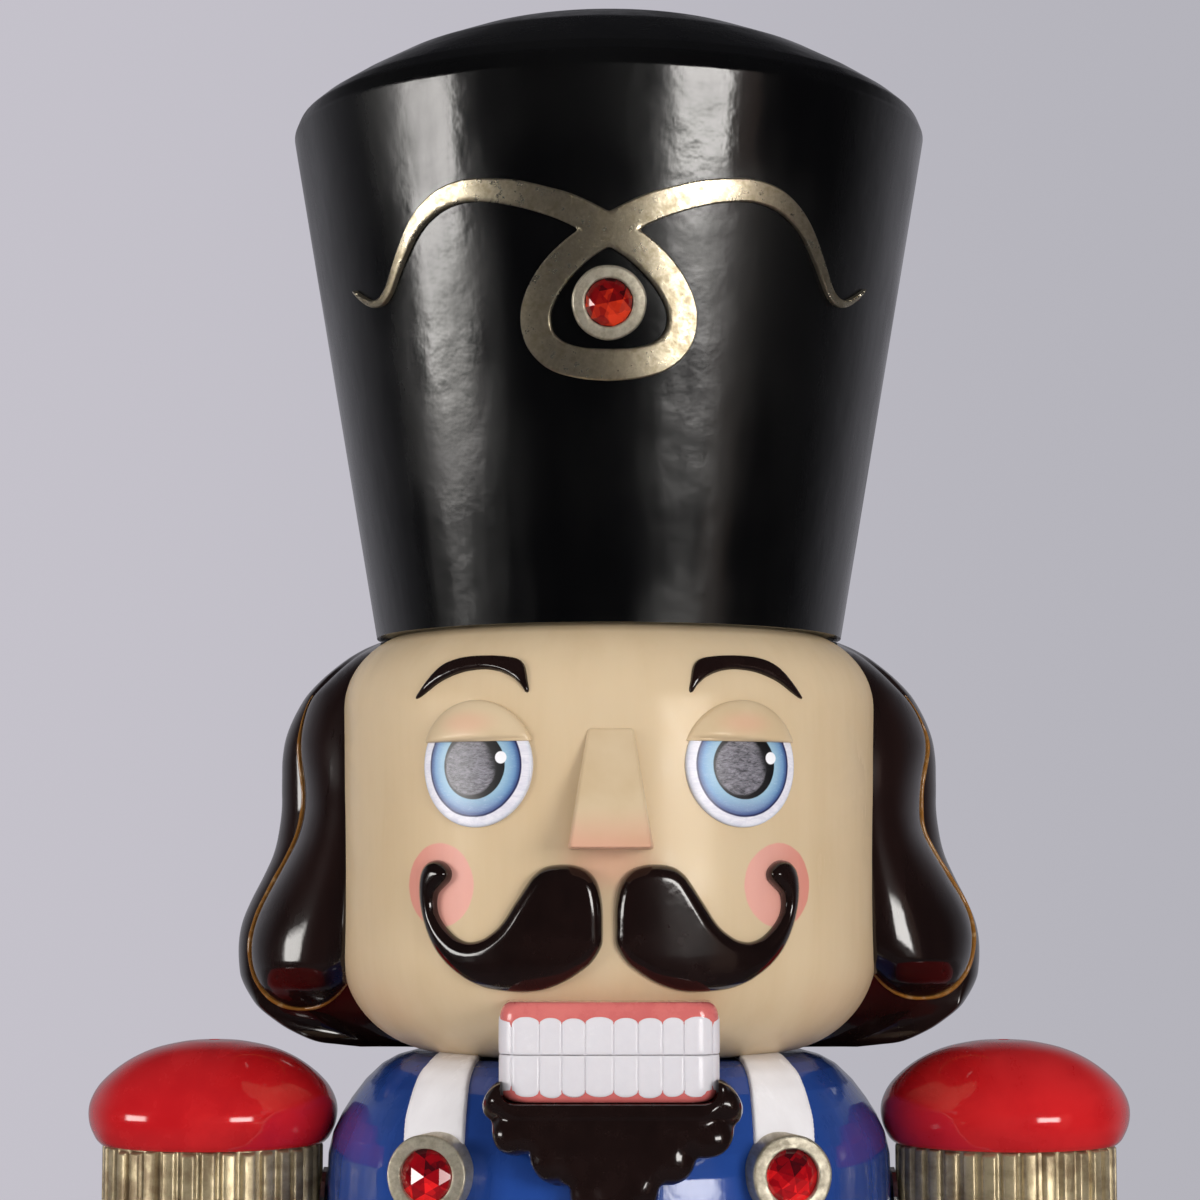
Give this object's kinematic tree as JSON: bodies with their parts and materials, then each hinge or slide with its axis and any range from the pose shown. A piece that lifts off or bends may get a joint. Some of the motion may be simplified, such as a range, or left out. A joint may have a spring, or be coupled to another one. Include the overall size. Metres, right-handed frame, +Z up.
{
  "type": "nutcracker figure",
  "caption": "Standing toy-soldier nutcracker with tall black hat, rolled hair, long moustache, blue coat, turning arms and a lever-worked lower jaw.",
  "frame": {"origin": "centre of the figure on the floor plane, at the underside of the base", "axes": "+Z up, the figure faces -Y, its own right hand is on -X"},
  "size_m": [0.615, 0.44, 1.905],
  "materials": {
    "base_black": "black gloss lacquer on wood",
    "black_gloss": "black clear-coated shell, fine polishing strokes",
    "skin_gloss": "warm cream clear coat with rosy sprayed shading",
    "dark_brown_gloss": "near-black brown clear coat",
    "blue_gloss": "deep blue clear coat",
    "white_satin": "white satin paint",
    "red_gloss": "red clear coat",
    "champagne": "brushed champagne-gold paint",
    "red_gem": "faceted red acrylic",
    "gum_pink": "pink gloss paint",
    "tooth_white": "white gloss paint",
    "eye_paint": "painted eye, white with a blue iris and black pupil",
    "steel": "plain",
    "bare_wood": "unfinished board"
  },
  "bodies": {
    "figure": {"base_cap": "champagne", "base_plinth": "base_black", "belt": "white_satin", "belt_buckle": "champagne", "boot_left": "black_gloss", "boot_right": "black_gloss", "coat_button_1": "champagne", "coat_button_2": "champagne", "coat_skirt": "blue_gloss", "eye_left": "eye_paint", "eye_right": "eye_paint", "eyebrow_left": "dark_brown_gloss", "eyebrow_right": "dark_brown_gloss", "eyelid_left": "skin_gloss", "eyelid_right": "skin_gloss", "hair": "dark_brown_gloss", "hat_bezel": "champagne", "hat_board": "bare_wood", "hat_emblem": "champagne", "hat_gem": "red_gem", "hat_shell": "black_gloss", "head_shell": "skin_gloss", "jaw_bracket": "steel", "jaw_pin": "steel", "moustache_left": "dark_brown_gloss", "moustache_right": "dark_brown_gloss", "nose": "skin_gloss", "pelvis_board": "bare_wood", "shoulder_bolt_left": "steel", "shoulder_bolt_right": "steel", "skirt_hem_band": "champagne", "strap_bezel_left": "champagne", "strap_bezel_right": "champagne", "strap_gem_left": "red_gem", "strap_gem_right": "red_gem", "strap_left": "white_satin", "strap_right": "white_satin", "tie_rod_left": "steel", "tie_rod_right": "steel", "torso_shelf": "bare_wood", "torso_shell": "blue_gloss", "trouser_leg_left": "white_satin", "trouser_leg_right": "white_satin", "upper_gum": "gum_pink", "upper_teeth": "tooth_white"},
    "jaw": {"beard": "dark_brown_gloss", "jaw_handle": "blue_gloss", "jaw_lever": "steel", "lower_gum": "gum_pink", "lower_teeth": "tooth_white"},
    "right_arm": {"epaulette_right": "red_gloss", "fringe_right": "champagne", "sleeve_right": "blue_gloss", "cuff_right": "red_gloss", "hand_right": "white_satin"},
    "left_arm": {"epaulette_left": "red_gloss", "fringe_left": "champagne", "sleeve_left": "blue_gloss", "cuff_left": "red_gloss", "hand_left": "white_satin"}
  },
  "joints": [
    {"name": "jaw_hinge", "type": "hinge", "parent": "figure", "child": "jaw", "pos_m": [0, 0.015, 1.14], "axis": [1, 0, 0], "range_deg": [0, 16]},
    {"name": "right_shoulder", "type": "hinge", "parent": "figure", "child": "right_arm", "pos_m": [-0.2345, 0, 1.195], "axis": [-1, 0, 0], "range_deg": [-30, 90]},
    {"name": "left_shoulder", "type": "hinge", "parent": "figure", "child": "left_arm", "pos_m": [0.2345, 0, 1.195], "axis": [-1, 0, 0], "range_deg": [-30, 90]}
  ]
}
